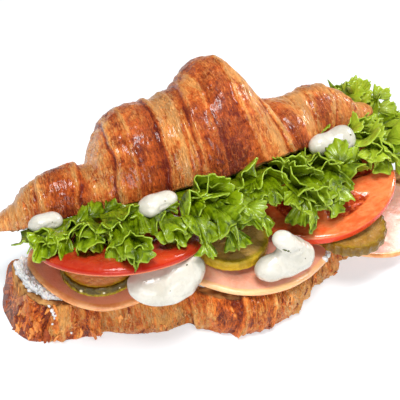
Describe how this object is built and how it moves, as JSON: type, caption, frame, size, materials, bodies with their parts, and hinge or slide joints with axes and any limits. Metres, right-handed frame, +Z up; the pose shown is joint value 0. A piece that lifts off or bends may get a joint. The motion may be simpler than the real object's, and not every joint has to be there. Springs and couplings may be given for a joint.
{
  "type": "pork croissant sandwich",
  "caption": "Split croissant filled with cream cheese, sliced ham, pickle, tomato, frilled lettuce and dollops of white sauce, its upper half tipped open towards the front",
  "frame": {"origin": "middle of the underside of the bounding box, on the surface it rests on", "axes": "+X along the croissant towards its right tip, -Y towards the open front that shows the filling, +Z up"},
  "size_m": [0.1861, 0.0936, 0.0814],
  "materials": {
    "baked_crust": "golden brown baked crust, slightly glossy",
    "cream_cheese": "soft and lumpy",
    "ham": "moist cooked pork, darker rim",
    "pickle": "wet, dark skin on the rim",
    "tomato": "wet flesh with a thin skin",
    "lettuce": "fresh, pale frilled margin",
    "sauce": "glossy white sauce with herb specks"
  },
  "bodies": {
    "root": {"croissant_base": "baked_crust", "croissant_lid": "baked_crust", "cheese_spread": "cream_cheese", "ham_left": "ham", "ham_middle": "ham", "ham_right": "ham", "pickle_left": "pickle", "pickle_middle": "pickle", "pickle_right": "pickle", "tomato_left": "tomato", "tomato_right": "tomato", "lettuce_left": "lettuce", "lettuce_drooping": "lettuce", "lettuce_middle": "lettuce", "lettuce_right": "lettuce", "lettuce_far": "lettuce", "sauce_left_tip": "sauce", "sauce_under_lid": "sauce", "sauce_right_tip": "sauce", "sauce_front_large": "sauce", "sauce_front_curl": "sauce"}
  },
  "joints": []
}
